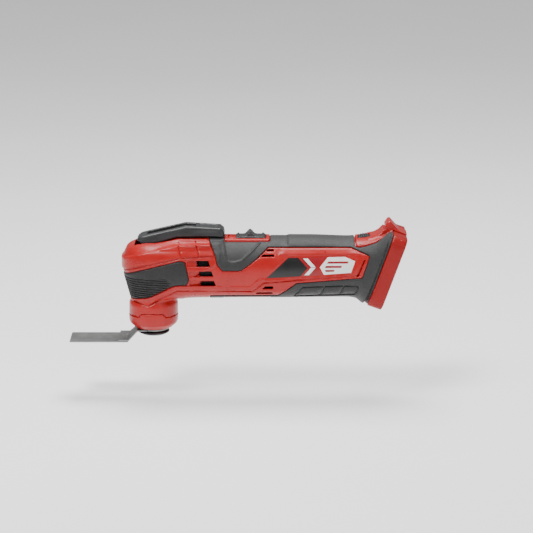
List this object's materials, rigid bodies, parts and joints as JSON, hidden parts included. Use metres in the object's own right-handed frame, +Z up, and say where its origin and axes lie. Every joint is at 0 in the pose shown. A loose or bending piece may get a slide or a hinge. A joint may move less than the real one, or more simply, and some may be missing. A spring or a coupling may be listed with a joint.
{
  "type": "oscillating multi tool",
  "caption": "Cordless oscillating multi tool with a lever blade clamp, plunge blade, slide switch, speed dial and a tilted battery foot.",
  "frame": {"origin": "centre of the clamp bolt's lower face, on the spindle axis", "axes": "+X along the body from the spindle to the battery foot, +Y to the tool's right side, +Z up the spindle"},
  "size_m": [0.3195, 0.069, 0.1166],
  "materials": {
    "red_housing": "moulded satin texture",
    "red_foot": "moulded satin texture",
    "overmould": "soft grip, matt",
    "bumper_rubber": "matt ribbed rubber",
    "black_plastic": "matt black",
    "lever_plastic": "satin black",
    "switch_plastic": "satin black",
    "label_film": "printed film",
    "blade_steel": "stamped grey steel",
    "ground_steel": "ground",
    "black_steel": "black oxide",
    "cast_aluminium": "die cast",
    "terminal_copper": "plated",
    "board_green": "circuit board",
    "lead_sleeve": "insulated lead"
  },
  "bodies": {
    "tool_body": {"housing_left": "red_housing", "grip_left": "overmould", "label_left": "label_film", "housing_right": "red_housing", "grip_right": "overmould", "label_right": "label_film", "front_bumper": "bumper_rubber", "head_collar": "red_housing", "rear_cap": "red_housing", "battery_shoe": "red_foot", "terminal_block": "black_plastic", "terminal_1": "terminal_copper", "terminal_2": "terminal_copper", "terminal_3": "terminal_copper", "lever_pin": "ground_steel", "spindle_seal": "lead_sleeve", "lower_bearing": "ground_steel", "upper_bearing": "ground_steel", "gear_case": "cast_aluminium", "motor_can": "black_steel", "motor_front_cap": "black_steel", "motor_rear_cap": "cast_aluminium", "rear_bearing": "ground_steel", "brush_left": "black_steel", "brush_right": "black_steel", "bearing_plate": "black_plastic", "front_bearing": "ground_steel", "switch_body": "black_plastic", "control_board": "board_green", "heat_sink": "cast_aluminium", "dial_sensor": "board_green", "battery_lead_left": "lead_sleeve", "battery_lead_right": "lead_sleeve", "motor_lead": "lead_sleeve", "housing_screw_1": "black_steel", "housing_screw_2": "black_steel", "housing_screw_3": "black_steel", "housing_screw_4": "black_steel", "housing_screw_5": "black_steel", "housing_screw_6": "black_steel"},
    "spindle_unit": {"spindle": "ground_steel", "tool_holder": "ground_steel", "clamp_collet": "black_steel", "swing_fork": "ground_steel"},
    "clamp_bolt_unit": {"clamp_bolt": "black_steel", "blade_arbor": "blade_steel", "blade_plate": "blade_steel"},
    "motor_unit": {"rotor": "ground_steel", "commutator": "terminal_copper", "motor_shaft": "ground_steel", "eccentric_bearing": "ground_steel", "cooling_fan": "black_plastic"},
    "lever_unit": {"lever": "lever_plastic", "lever_cam": "ground_steel"},
    "plunger_unit": {"release_plunger": "ground_steel", "plunger_spring": "black_steel"},
    "switch_unit": {"switch_slider": "switch_plastic", "switch_link": "switch_plastic"},
    "dial_unit": {"speed_dial": "switch_plastic"}
  },
  "joints": [
    {"name": "spindle_swing", "type": "hinge", "parent": "tool_body", "child": "spindle_unit", "pos_m": [0, 0, 0.03], "axis": [0, 0, 1], "range_deg": [-1.6, 1.6]},
    {"name": "clamp_bolt_draw", "type": "slide", "parent": "spindle_unit", "child": "clamp_bolt_unit", "axis": [0, 0, -1], "range_m": [0, 0.046]},
    {"name": "motor_spin", "type": "hinge", "parent": "tool_body", "child": "motor_unit", "pos_m": [0.086, 0, 0.0655], "axis": [1, 0, 0], "continuous": true},
    {"name": "lever_lift", "type": "hinge", "parent": "tool_body", "child": "lever_unit", "pos_m": [-0.004, 0, 0.087], "axis": [0, -1, 0], "range_deg": [0, 90]},
    {"name": "plunger_push", "type": "slide", "parent": "tool_body", "child": "plunger_unit", "axis": [0, 0, -1], "range_m": [0, 0.0025], "deforming": ["plunger_spring"]},
    {"name": "switch_slide", "type": "slide", "parent": "tool_body", "child": "switch_unit", "axis": [-1, 0, 0], "range_m": [0, 0.007]},
    {"name": "dial_turn", "type": "hinge", "parent": "tool_body", "child": "dial_unit", "pos_m": [0.2002, 0, 0.088], "axis": [0, 1, 0], "range_deg": [-100, 100]}
  ],
  "couplings": [
    {"joint": "plunger_push", "follows": "lever_lift", "m_per_rad": 0.0015279}
  ]
}
